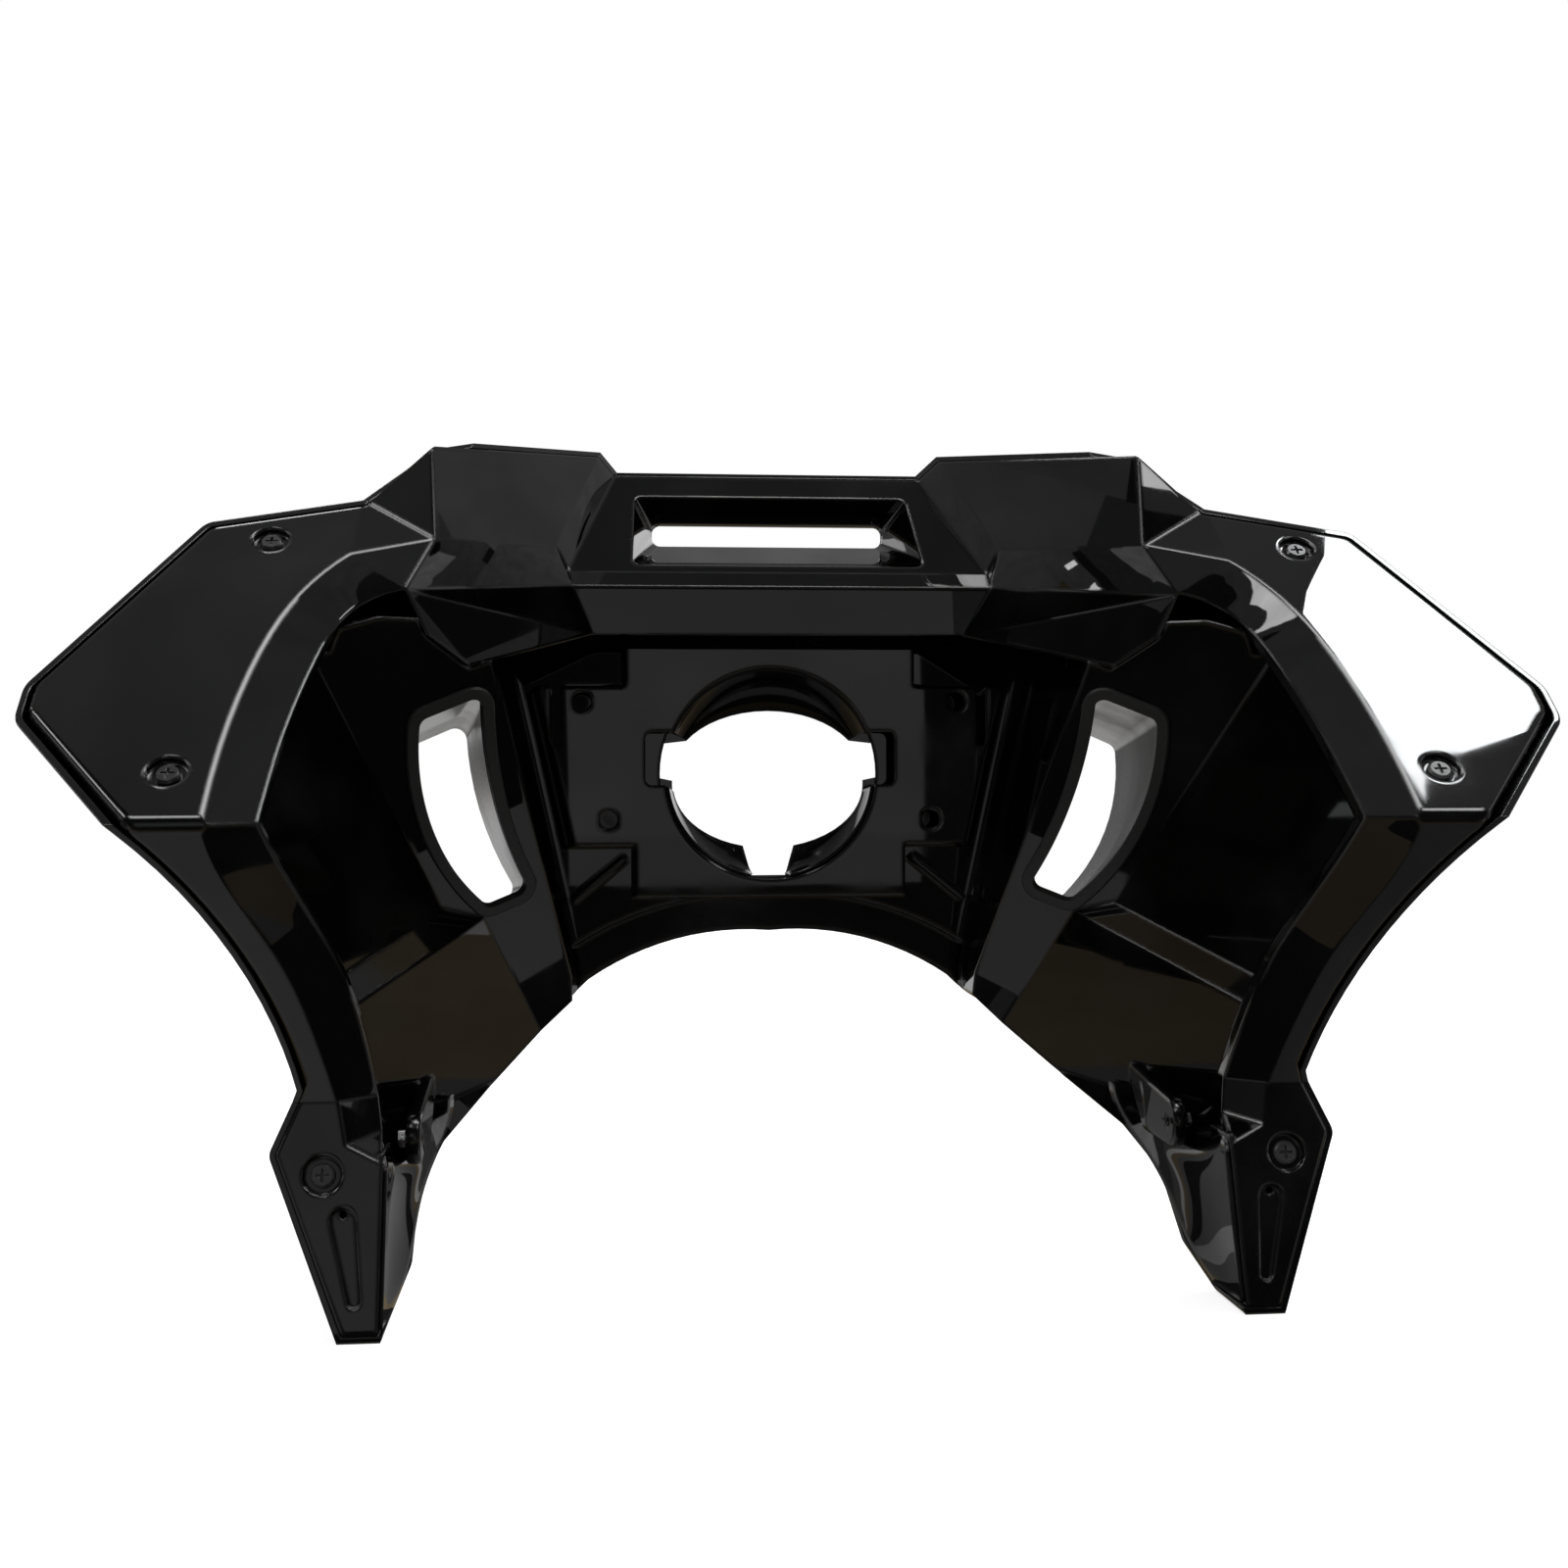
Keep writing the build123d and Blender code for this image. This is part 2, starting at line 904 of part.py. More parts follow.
def lug_hole():
    with BuildPart() as form:
        with BuildSketch(Plane.YZ.offset(lug_half - lug_thick)):
            with Locations((lug_depth, lug_height)):
                Circle(lug_hole_radius)
        extrude(amount=2 * lug_thick)
        mirror(about=Plane.YZ)
    return form.part


def nut_form():
    with BuildPart() as form:
        with BuildSketch(Plane.YZ.offset(lug_half + lug_thick / 2)):
            with Locations((lug_depth, lug_height)):
                RegularPolygon(nut_flats / 2, 6, major_radius=False)
                Circle(nut_bore, mode=Mode.SUBTRACT)
        extrude(amount=nut_thick)
        mirror(about=Plane.YZ)
    return form.part


def screw_form(place):
    face = panel_plane(place)
    with BuildPart() as form:
        with BuildSketch(face.offset(-dish_depth)):
            Circle(screw_head_radius)
        extrude(amount=screw_head_height)
        chamfer(form.edges().sort_by(Axis(face.origin, face.z_dir))[-1], screw_round)
        with BuildSketch(face.offset(-dish_depth)):
            Circle(screw_radius)
        extrude(amount=-screw_length)
        with BuildSketch(face.offset(screw_head_height - dish_depth + 1)):
            Rectangle(cross_length, cross_width)
            Rectangle(cross_width, cross_length)
        extrude(amount=-1 - cross_depth, mode=Mode.SUBTRACT)
        mirror(about=Plane.YZ)
    return form.part


screw_places = wing_screw_places + (leg_screw_place,)
inside = skin_form(0)
liner_room = skin_form(-fit_gap)

with BuildPart() as inner_liner:
    add(ahead_of_rear(0))
    add(ahead_of_rear(sweep_depth), mode=Mode.SUBTRACT)
    add(cockpit_form(), mode=Mode.SUBTRACT)
    for corners in liner_facets:
        add(swept(corners, -300, 600), mode=Mode.SUBTRACT)
    add(swept_strip(crease_wing, cavity_wing, -300, 600), mode=Mode.SUBTRACT)
    add(swept_strip(crease_strip, cavity_strip, -300, 600), mode=Mode.SUBTRACT)
    for corners in liner_facets:
        add(swept(corners, 0, sweep_depth))
    add(swept_strip(crease_wing, cavity_wing, 0, sweep_depth))
    add(swept_strip(crease_strip, cavity_strip, 0, sweep_depth))
    add(dash_vent_form(liner_wall))
    add(dash_vent_form(0), mode=Mode.SUBTRACT)
    for edge, crease in ((cavity_wing, crease_wing), (cavity_strip, crease_strip)):
        add(swept_strip(return_line(edge, crease), edge, 1.5, return_depth))
    add(leg_wall())
    for place in screw_places:
        add(turned(place, boss_radius, 1, boss_depth - 1))
        add(turned(place, dish_radius, -5, 5 + dish_depth), mode=Mode.SUBTRACT)
        add(turned(place, screw_radius + screw_clear, 0, 30), mode=Mode.SUBTRACT)
    add(keyhole_cut(), mode=Mode.SUBTRACT)
    add(rim_ring())
    add(liner_room, mode=Mode.INTERSECT)
    add(rim_form(shell_wall + fit_gap), mode=Mode.INTERSECT)
inner_liner.part.label = "inner_liner"
export_step(inner_liner.part, "parts/inner_liner.step")

with BuildPart() as outer_shell:
    add(skin_form(shell_wall))
    add(inside, mode=Mode.SUBTRACT)
    for place in screw_places:
        add(turned(place, post_radius, boss_depth, 200))
    add(skin_form(shell_wall), mode=Mode.INTERSECT)
    for place in screw_places:
        add(turned(place, insert_radius, boss_depth, insert_length), mode=Mode.SUBTRACT)
        add(turned(place, screw_radius + screw_clear, 0, 24), mode=Mode.SUBTRACT)
    add(ahead_of_rear(0), mode=Mode.INTERSECT)
    add(arch_form(120, 560), mode=Mode.SUBTRACT)
    add(arch_form(120, 120 - arch_skin_rear, arch_skin_spread), mode=Mode.SUBTRACT)
    for corners in pod_facets:
        add(swept(corners, -400, 400), mode=Mode.SUBTRACT)
    add(both_sides(duct_form(duct_step)), mode=Mode.SUBTRACT)
    add(pin_form())
    add(eye_form(), mode=Mode.SUBTRACT)
    add(slot_cut(), mode=Mode.SUBTRACT)
outer_shell.part.label = "outer_shell"
export_step(outer_shell.part, "parts/outer_shell.step")

with BuildPart() as inner_pan:
    add(pocket_form(pan_wall))
    add(pocket_form(0), mode=Mode.SUBTRACT)
    split(bisect_by=Plane.XY.offset(pan_top), keep=Keep.BOTTOM)
    split(bisect_by=Plane.YZ.offset(pan_half), keep=Keep.BOTTOM)
    split(bisect_by=Plane.YZ.offset(-pan_half), keep=Keep.TOP)
    add(ahead_of_rear(pan_set), mode=Mode.INTERSECT)
    add(arch_form(120, 560), mode=Mode.SUBTRACT)
    add(rib_form())
    add(lug_form())
    add(lug_hole(), mode=Mode.SUBTRACT)
    add(liner_room, mode=Mode.INTERSECT)
    add(arch_form(nose_face + lip_depth, lip_depth + 2, lip_width), mode=Mode.SUBTRACT)
    for corners in flange_facets[1:]:
        add(swept(corners, -30, 90), mode=Mode.SUBTRACT)
    add(swept_strip(crease_wing, cavity_wing, -6, 30), mode=Mode.SUBTRACT)
    for place in screw_places:
        add(turned(place, post_radius + post_clear, boss_depth, 200), mode=Mode.SUBTRACT)
    add(vent_hole(), mode=Mode.SUBTRACT)
    with BuildSketch(front_view(60)):
        Circle(lamp_radius + pan_hole_clear)
    extrude(amount=80, mode=Mode.SUBTRACT)
inner_pan.part.label = "inner_pan"
export_step(inner_pan.part, "parts/inner_pan.step")

with BuildPart() as mounting_plate:
    loft([plate_section(0, 0, 0), plate_section(nose_face, 1, 0)], ruled=True)
    loft(
        [
            plate_section(plate_wall, plate_wall / nose_face, plate_wall),
            plate_section(nose_face, 1, plate_wall),
        ],
        ruled=True,
        mode=Mode.SUBTRACT,
    )
    with BuildSketch(front_view(nose_face - 2)):
        Circle(lamp_radius + skirt_wall)
    extrude(amount=nose_face - 2 - plate_wall / 2)
    with BuildSketch(front_view(nose_face)):
        Circle(lamp_radius)
        with Locations((0, (eye_notch_top + eye_notch_low) / 2)):
            RectangleRounded(2 * eye_notch_half + 4, eye_notch_top - eye_notch_low + 6, 5)
        with Locations(
            (bracket_upper_half, bracket_upper_height),
            (-bracket_upper_half, bracket_upper_height),
            (bracket_lower_half, bracket_lower_height),
            (-bracket_lower_half, bracket_lower_height),
        ):
            Circle(bracket_hole)
        with Locations(
            (pad_slot_half, pad_top + (pad_slot_low - pad_top) / 2 + 5),
            (-pad_slot_half, pad_top + (pad_slot_low - pad_top) / 2 + 5),
        ):
            Rectangle(pad_slot_width, pad_top - pad_slot_low + 10)
    extrude(amount=nose_face + 1, mode=Mode.SUBTRACT)
mounting_plate.part.label = "mounting_plate"
export_step(mounting_plate.part, "parts/mounting_plate.step")

with BuildPart() as vent_duct_right:
    add(duct_form(duct_step + duct_wall))
    add(duct_form(duct_step), mode=Mode.SUBTRACT)
    add(inside, mode=Mode.INTERSECT)
    add(pocket_form(pan_wall), mode=Mode.SUBTRACT)
vent_duct_right.part.label = "vent_duct_right"
export_step(vent_duct_right.part, "parts/vent_duct_right.step")

with BuildPart() as vent_duct_left:
    add(mirror(vent_duct_right.part, about=Plane.YZ, mode=Mode.PRIVATE))
vent_duct_left.part.label = "vent_duct_left"
export_step(vent_duct_left.part, "parts/vent_duct_left.step")

with BuildPart() as vent_trim_right:
    extrude(side_vent_face(-trim_thick, trim_lip), amount=trim_thick, dir=shelf_dir)
    chamfer(vent_trim_right.faces().sort_by(Axis(shelf_point, shelf_dir))[0].edges(), trim_round)
    extrude(side_vent_face(-1, trim_neck), amount=1 + pan_wall, dir=shelf_dir)
    extrude(
        side_vent_face(-trim_thick - 1, 0),
        amount=trim_thick + pan_wall + 2,
        dir=shelf_dir,
        mode=Mode.SUBTRACT,
    )
vent_trim_right.part.label = "vent_trim_right"
export_step(vent_trim_right.part, "parts/vent_trim_right.step")

with BuildPart() as vent_trim_left:
    add(mirror(vent_trim_right.part, about=Plane.YZ, mode=Mode.PRIVATE))
vent_trim_left.part.label = "vent_trim_left"
export_step(vent_trim_left.part, "parts/vent_trim_left.step")

with BuildPart() as wing_screws:
    for place in wing_screw_places:
        add(screw_form(place))
wing_screws.part.label = "wing_screws"
export_step(wing_screws.part, "parts/wing_screws.step")

with BuildPart() as leg_screws:
    add(screw_form(leg_screw_place))
leg_screws.part.label = "leg_screws"
export_step(leg_screws.part, "parts/leg_screws.step")

with BuildPart() as screw_inserts:
    for place in screw_places:
        add(turned(place, insert_radius, boss_depth, insert_length))
        add(
            turned(place, screw_radius + thread_clear, boss_depth - 1, insert_length + 2),
            mode=Mode.SUBTRACT,
        )
screw_inserts.part.label = "screw_inserts"
export_step(screw_inserts.part, "parts/screw_inserts.step")

with BuildPart() as lug_nuts:
    add(nut_form())
lug_nuts.part.label = "lug_nuts"
export_step(lug_nuts.part, "parts/lug_nuts.step")
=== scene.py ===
# %% [markdown]
# # A motorcycle fairing in gloss black plastic
# The fairing is seen from the rider's side: a thin front skin, a liner that closes its rear
# edge, a pan with the lamp plate in the middle, two vents and two legs.
# The CAD model is loaded first and stays where it is. Blender adds the finishes, two small
# walls of the moulding, a pale floor, soft light and the camera, all in metres and in the
# CAD model's own frame.

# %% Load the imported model
import math

import bpy
from mathutils import Matrix, Vector


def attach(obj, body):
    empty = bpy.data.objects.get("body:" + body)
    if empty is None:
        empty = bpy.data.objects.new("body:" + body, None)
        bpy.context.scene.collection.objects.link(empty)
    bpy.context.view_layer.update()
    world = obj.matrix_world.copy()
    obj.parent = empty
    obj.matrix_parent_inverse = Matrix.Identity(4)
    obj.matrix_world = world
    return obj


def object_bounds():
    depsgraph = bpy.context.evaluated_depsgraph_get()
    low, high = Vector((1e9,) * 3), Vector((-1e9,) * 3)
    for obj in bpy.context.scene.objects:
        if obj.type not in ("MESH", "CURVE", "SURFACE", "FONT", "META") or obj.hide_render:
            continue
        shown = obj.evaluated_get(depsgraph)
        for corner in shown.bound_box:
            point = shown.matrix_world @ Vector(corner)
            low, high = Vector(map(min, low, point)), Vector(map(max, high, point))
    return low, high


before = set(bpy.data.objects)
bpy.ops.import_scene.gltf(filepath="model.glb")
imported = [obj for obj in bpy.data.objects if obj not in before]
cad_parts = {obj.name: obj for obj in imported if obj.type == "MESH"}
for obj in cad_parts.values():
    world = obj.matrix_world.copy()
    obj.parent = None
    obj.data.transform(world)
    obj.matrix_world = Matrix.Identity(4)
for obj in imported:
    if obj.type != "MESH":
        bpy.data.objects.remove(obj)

scene = bpy.context.scene
cad_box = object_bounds()
print("nodes", sorted(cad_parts))
print("box", cad_box)


# %% [markdown]
# ## The camera
# The photo was taken from behind, level with the lamp opening, a little to the left of the
# middle and turned slightly to the right. A camera is placed by its three axes, because a
# matrix of right, up and back vectors says exactly where it looks, with no aiming object.

# %% Camera at the photo's viewing angle
camera_place = Vector((-0.1226, -1.330, -0.0074))
camera_yaw = math.radians(5.662)
camera_roll = math.radians(-0.234)
camera_lens = 42.75
camera_sensor = 36.0

ahead = Vector((math.sin(camera_yaw), math.cos(camera_yaw), 0.0))
level_right = Vector((math.cos(camera_yaw), -math.sin(camera_yaw), 0.0))
plumb_up = Vector((0.0, 0.0, 1.0))
right = math.cos(camera_roll) * level_right + math.sin(camera_roll) * plumb_up
upward = math.cos(camera_roll) * plumb_up - math.sin(camera_roll) * level_right

camera_data = bpy.data.cameras.new("camera")
camera_data.lens = camera_lens
camera_data.sensor_width = camera_sensor
camera_data.clip_start = 0.01
camera = bpy.data.objects.new("camera", camera_data)
scene.collection.objects.link(camera)
camera.matrix_world = Matrix.Translation(camera_place) @ Matrix(
    (right, upward, -ahead)
).transposed().to_4x4()
scene.camera = camera
scene.view_settings.view_transform = "Standard"
print("camera at", tuple(round(v, 3) for v in camera_place))


# %% [markdown]
# ## Floor and white background
# The photo has a plain white background. The floor is a wide sheet of pale paper: it takes
# the fairing's soft shadow as any paper does, and the part of it that camera, glossy and
# transmission rays see glows up to the white of the world behind, so no horizon shows.

# %% Pale floor
floor_level = cad_box[0][2]
floor_half = 6.0


def sheet(name, corners):
    mesh = bpy.data.meshes.new(name)
    mesh.from_pydata(corners, [], [tuple(range(len(corners)))])
    mesh.update()
    piece = bpy.data.objects.new(name, mesh)
    scene.collection.objects.link(piece)
    return piece


def background_ray(nodes, links):
    path = nodes.new("ShaderNodeLightPath")
    seen = path.outputs["Is Camera Ray"]
    for ray in ("Is Glossy Ray", "Is Transmission Ray"):
        either = nodes.new("ShaderNodeMath")
        either.operation = "MAXIMUM"
        links.new(seen, either.inputs[0])
        links.new(path.outputs[ray], either.inputs[1])
        seen = either.outputs[0]
    return seen


floor = sheet(
    "floor",
    [
        (-floor_half, -floor_half, floor_level),
        (floor_half, -floor_half, floor_level),
        (floor_half, floor_half, floor_level),
        (-floor_half, floor_half, floor_level),
    ],
)

floor_paper = bpy.data.materials.new("floor_paper")
floor_paper.use_nodes = True
nodes = floor_paper.node_tree.nodes
links = floor_paper.node_tree.links
nodes.clear()
paper_out = nodes.new("ShaderNodeOutputMaterial")
paper_sum = nodes.new("ShaderNodeAddShader")
paper_face = nodes.new("ShaderNodeBsdfDiffuse")
paper_face.inputs["Color"].default_value = (0.62, 0.62, 0.62, 1.0)
paper_glow = nodes.new("ShaderNodeEmission")
paper_glow.inputs["Color"].default_value = (0.74, 0.74, 0.74, 1.0)
links.new(background_ray(nodes, links), paper_glow.inputs["Strength"])
links.new(paper_face.outputs[0], paper_sum.inputs[0])
links.new(paper_glow.outputs[0], paper_sum.inputs[1])
links.new(paper_sum.outputs[0], paper_out.inputs["Surface"])
floor.data.materials.append(floor_paper)
print("floor at", round(floor_level, 4))

# %% White world
fill_strength = 0.42

world = bpy.data.worlds.new("studio_world")
scene.world = world
world.use_nodes = True
nodes = world.node_tree.nodes
links = world.node_tree.links
nodes.clear()
world_out = nodes.new("ShaderNodeOutputWorld")
world_mix = nodes.new("ShaderNodeMixShader")
world_fill = nodes.new("ShaderNodeBackground")
world_fill.inputs["Color"].default_value = (1.0, 1.0, 1.0, 1.0)
world_fill.inputs["Strength"].default_value = fill_strength
world_white = nodes.new("ShaderNodeBackground")
world_white.inputs["Color"].default_value = (1.0, 1.0, 1.0, 1.0)
world_white.inputs["Strength"].default_value = 1.0
links.new(background_ray(nodes, links), world_mix.inputs["Fac"])
links.new(world_fill.outputs[0], world_mix.inputs[1])
links.new(world_white.outputs[0], world_mix.inputs[2])
links.new(world_mix.outputs[0], world_out.inputs["Surface"])
print("world fill", fill_strength)


# %% [markdown]
# ## Soft lamps
# Three large soft boxes light the paper and the few surfaces that aren't a mirror: the
# vents' walls, the rubber trims and the screws.

# %% Soft boxes
def soft_box(name, place, target, width, height, power):
    lamp = bpy.data.lights.new(name, "AREA")
    lamp.shape = "RECTANGLE"
    lamp.size = width
    lamp.size_y = height
    lamp.energy = power
    piece = bpy.data.objects.new(name, lamp)
    scene.collection.objects.link(piece)
    piece.location = place
    aim = Vector(target) - Vector(place)
    piece.rotation_euler = aim.to_track_quat("-Z", "Y").to_euler()
    piece.visible_glossy = False


soft_box("window_light", (1.3, 0.2, 1.9), (0.2, -0.2, 0.0), 0.9, 1.2, 30)
soft_box("key_light", (-1.6, -1.9, 1.7), (0, -0.1, 0), 1.2, 1.2, 24)
soft_box("front_light", (1.0, 2.4, 1.2), (0, 0, 0), 1.6, 1.2, 34)


# %% [markdown]
# ## What the gloss mirrors
# Gloss black shows hardly any colour of its own: it shows what it mirrors. A photographer
# hangs boards round such a part, dark ones to keep it black and white ones for its edges.
# The boards here are seen by glossy rays only, so they shape the reflections and neither
# light the part nor stand in the picture. The wings lean back by about 45 degrees, so they
# mirror the ceiling, and the window hung below it makes the white patch on the right wing.

# %% Board helper
# The Mix node has a set of sockets for each data type; these are the ones for colours.
mix_first = 6
mix_second = 7
mix_result = 2
white = (1.0, 1.0, 1.0)


def board(name, corners, strength, colour=white, mottle=0.15):
    piece = sheet(name, corners)
    piece.visible_camera = False
    piece.visible_diffuse = False
    piece.visible_transmission = False
    piece.visible_shadow = False
    paint = bpy.data.materials.new(name)
    paint.use_nodes = True
    nodes = paint.node_tree.nodes
    links = paint.node_tree.links
    nodes.clear()
    out = nodes.new("ShaderNodeOutputMaterial")
    glow = nodes.new("ShaderNodeEmission")
    glow.inputs["Strength"].default_value = strength
    place = nodes.new("ShaderNodeTexCoord")
    cloud = nodes.new("ShaderNodeTexNoise")
    cloud.inputs["Scale"].default_value = 2.5
    cloud.inputs["Detail"].default_value = 3.0
    ramp = nodes.new("ShaderNodeMapRange")
    ramp.inputs["From Min"].default_value = 0.3
    ramp.inputs["From Max"].default_value = 0.7
    ramp.inputs["To Min"].default_value = 1.0 - mottle
    ramp.inputs["To Max"].default_value = 1.0 + mottle
    tint = nodes.new("ShaderNodeMix")
    tint.data_type = "RGBA"
    tint.blend_type = "MULTIPLY"
    tint.inputs["Factor"].default_value = 1.0
    tint.inputs[mix_first].default_value = (*colour, 1.0)
    links.new(place.outputs["Object"], cloud.inputs["Vector"])
    links.new(cloud.outputs["Fac"], ramp.inputs["Value"])
    links.new(ramp.outputs["Result"], tint.inputs[mix_second])
    links.new(tint.outputs[mix_result], glow.inputs["Color"])
    links.new(glow.outputs[0], out.inputs["Surface"])
    piece.data.materials.append(paint)


def flat_board(name, x_range, y_range, height, strength, colour=white):
    corners = [
        (x_range[0], y_range[0], height),
        (x_range[1], y_range[0], height),
        (x_range[1], y_range[1], height),
        (x_range[0], y_range[1], height),
    ]
    board(name, corners, strength, colour)


def upright_board(name, x_range, depth, z_range, strength):
    corners = [
        (x_range[0], depth, z_range[0]),
        (x_range[1], depth, z_range[0]),
        (x_range[1], depth, z_range[1]),
        (x_range[0], depth, z_range[1]),
    ]
    board(name, corners, strength)


def side_board(name, half, y_range, z_range, strength):
    corners = [
        (half, y_range[0], z_range[0]),
        (half, y_range[1], z_range[0]),
        (half, y_range[1], z_range[1]),
        (half, y_range[0], z_range[1]),
    ]
    board(name, corners, strength)


print("board helpers ready")

# %% Ceiling, with the window and the strips that draw the edges
room_half = 6.0
room_back = -3.2
room_front = 6.0
room_low = -0.5
ceiling = 4.0
hung = ceiling - 0.01
brown = (1.0, 0.8, 0.52)
edge_glow = 9.0

flat_board("ceiling", (-room_half, room_half), (room_back, room_front), ceiling, 0.27)
flat_board("ceiling_over_dash", (-0.2, 1.1), (0.55, 1.3), hung, 0.1)
flat_board("ceiling_ahead_dark", (-0.6, 1.4), (2.7, 4.4), hung, 0.05)
flat_board("ceiling_dark_left", (-2.8, -1.6), (-1.45, -0.7), hung, 0.03)
flat_board("ceiling_far_left", (-room_half, -5.1), (-1.6, 0.8), hung, 0.03)
flat_board("ceiling_brown_left", (-3.6, -2.6), (-0.7, 0.15), hung, 0.2, brown)
flat_board("ceiling_brown_right", (3.55, 4.6), (0.2, 0.95), hung, 0.28, brown)
window_height = 1.6
window_outline = [
    (0.921, -0.052),
    (0.894, -0.105),
    (0.888, -0.137),
    (0.937, -0.194),
    (0.988, -0.267),
    (1.032, -0.349),
    (1.075, -0.410),
    (1.072, -0.386),
    (1.083, -0.341),
    (1.130, -0.337),
    (1.202, -0.316),
    (1.269, -0.296),
    (1.300, -0.280),
    (1.300, 0.120),
    (0.930, 0.120),
]
lamp_outline = [
    (-0.45, -1.1),
    (1.5, -1.1),
    (1.5, -0.22),
    (0.62, -0.22),
    (0.62, 0.25),
    (0.12, 0.25),
    (0.12, -0.22),
    (-0.45, -0.22),
]
sky_glow = 20.0
sky_colour = (0.96, 0.985, 1.0)
sky_mottle = 0.12
window_corners = [(x, y, window_height) for x, y in window_outline]
board("window", window_corners, sky_glow, sky_colour, sky_mottle)
board("lamp_overhead", [(x, y, hung) for x, y in lamp_outline], edge_glow)
flat_board("strip_left", (-4.9, -3.7), (-2.2, -0.5), hung, edge_glow)
flat_board("strip_left_ahead", (-4.9, -4.1), (0.3, 0.5), hung, edge_glow)
flat_board("strip_ahead", (-1.5, -0.9), (1.1, 2.3), hung, edge_glow)
flat_board("strip_behind", (-1.75, -0.95), (-2.6, -1.6), hung, edge_glow)
flat_board("strip_behind_right", (1.0, 1.35), (-1.25, -0.75), window_height, edge_glow)
print("ceiling at", ceiling, "window at", window_height)

# %% [markdown]
# ## Rear wall, side walls and floor
# The plate round the lamp faces the camera, so it mirrors the wall behind the photographer:
# one grey board there gives the plate its even grey, and dark ones keep its corner and its
# holes black. The cheeks lean down and mirror the floor, where a brown card warms them. The
# panels at the sides and in front are there for the other views of the fairing.

# %% Rear wall
wall_range = (room_low, ceiling)
upright_board("back_wall", (-room_half, room_half), room_back, wall_range, 0.03)
near_back = room_back + 0.02
nearer_back = near_back + 0.01
upright_board("back_light", (-0.2, 0.67), near_back, (-0.13, 0.6), 0.5)
upright_board("back_light_foot", (-0.2, 0.67), near_back, (-0.254, -0.13), 0.42)
upright_board("back_corner", (-0.2, -0.065), nearer_back, (0.237, 0.6), 0.03)
upright_board("back_left", (-1.3, -0.3), near_back, (0.6, 1.4), 0.4)
upright_board("back_high_left", (-2.3, -1.6), near_back, (3.5, ceiling), 0.26)
print("rear wall at", room_back)

# %% Dark dots that the two left bracket holes mirror
dot_radius = 0.0225
dot_corners = 24
dot_glow = 0.02
dots = {"back_dot_upper": (-0.165, 0.1955), "back_dot_lower": (-0.1001, -0.0949)}
for dot_name, (dot_x, dot_z) in dots.items():
    rim = []
    for corner in range(dot_corners):
        turn = 2 * math.pi * corner / dot_corners
        rim_x = dot_x + dot_radius * math.cos(turn)
        rim_z = dot_z + dot_radius * math.sin(turn)
        rim.append((rim_x, nearer_back, rim_z))
    board(dot_name, rim, dot_glow)
print("dots", sorted(dots))

# %% Side walls and front wall
side_range = (room_back, room_front)
near_wall = room_half - 0.02
nearer_wall = room_half - 0.04
near_front = room_front - 0.02
side_board("left_wall", -room_half, side_range, wall_range, 0.12)
side_board("left_wall_top", -near_wall, (0.9, room_front), (2.2, ceiling), 0.3)
side_board("right_wall", room_half, side_range, wall_range, 0.2)
side_board("right_wall_dark", near_wall, (1.45, 2.1), (3.6, ceiling), 0.02)
side_board("right_wall_top", near_wall, (2.15, room_front), (1.2, ceiling), 0.36)
upright_board("front_wall", (-room_half, room_half), room_front, wall_range, 0.18)
for side in (-1, 1):
    near_side = side * nearer_wall
    side_board("side_panel", near_side, (-1.4, 1.0), (0.5, 2.3), 0.9)
    side_board("side_panel_ahead", near_side, (2.4, 4.6), (0.3, 2.4), 1.1)
    panel_range = sorted((side * 1.1, side * 3.8))
    upright_board("front_panel", panel_range, near_front, (0.1, 2.6), 1.3)
print("walls at", -room_half, room_half, room_front)

# %% Floor boards
card = floor_level + 0.001
patch = floor_level + 0.002
upper_patch = patch + 0.0005
flat_board("floor_card", (-room_half, room_half), side_range, card, 0.24, brown)
flat_board("floor_front", (-3.5, 3.5), (0.9, 4.5), patch, 0.8)
for side in (-1, 1):
    flank_range = sorted((side * 1.05, side * 4.0))
    flat_board("floor_flank", flank_range, (-1.35, 0.85), patch, 0.7)
flat_board("floor_back", (-1.5, 2.0), (room_back, -1.4), patch, 0.03)
flat_board("floor_left", (-0.8, -0.28), (-0.9, -0.3), patch, 0.45)
flat_board("floor_right", (0.28, 0.8), (-0.9, -0.3), patch, 0.2)
flat_board("floor_dark", (-0.28, 0.28), (-0.6, -0.24), patch, 0.02)
flat_board("floor_ahead", (-0.23, 0.23), (-0.24, 0.6), patch, 0.17)
flat_board("floor_under_lamp", (-0.08, 0.08), (-0.1, 0.3), upper_patch, 0.02)
flat_board("floor_under_dash", (-0.14, 0.2), (-0.24, -0.1), upper_patch, 0.45)
meshes = [piece for piece in scene.objects if piece.type == "MESH"]
print("boards", len(meshes) - len(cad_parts) - 1)


# %% [markdown]
# ## Ripple, scuffs and smudges
# Injection-moulded gloss plastic isn't a perfect mirror: its skin has a faint long ripple
# from the mould, fine scuffs from handling and soft smudges. All the moulded pieces have
# them, so they are one node group with its own inputs.

# %% Moulded skin group
def group_socket(group, name, way, value=None, kind="NodeSocketFloat"):
    made = group.interface.new_socket(name=name, in_out=way, socket_type=kind)
    if value is not None:
        made.default_value = value


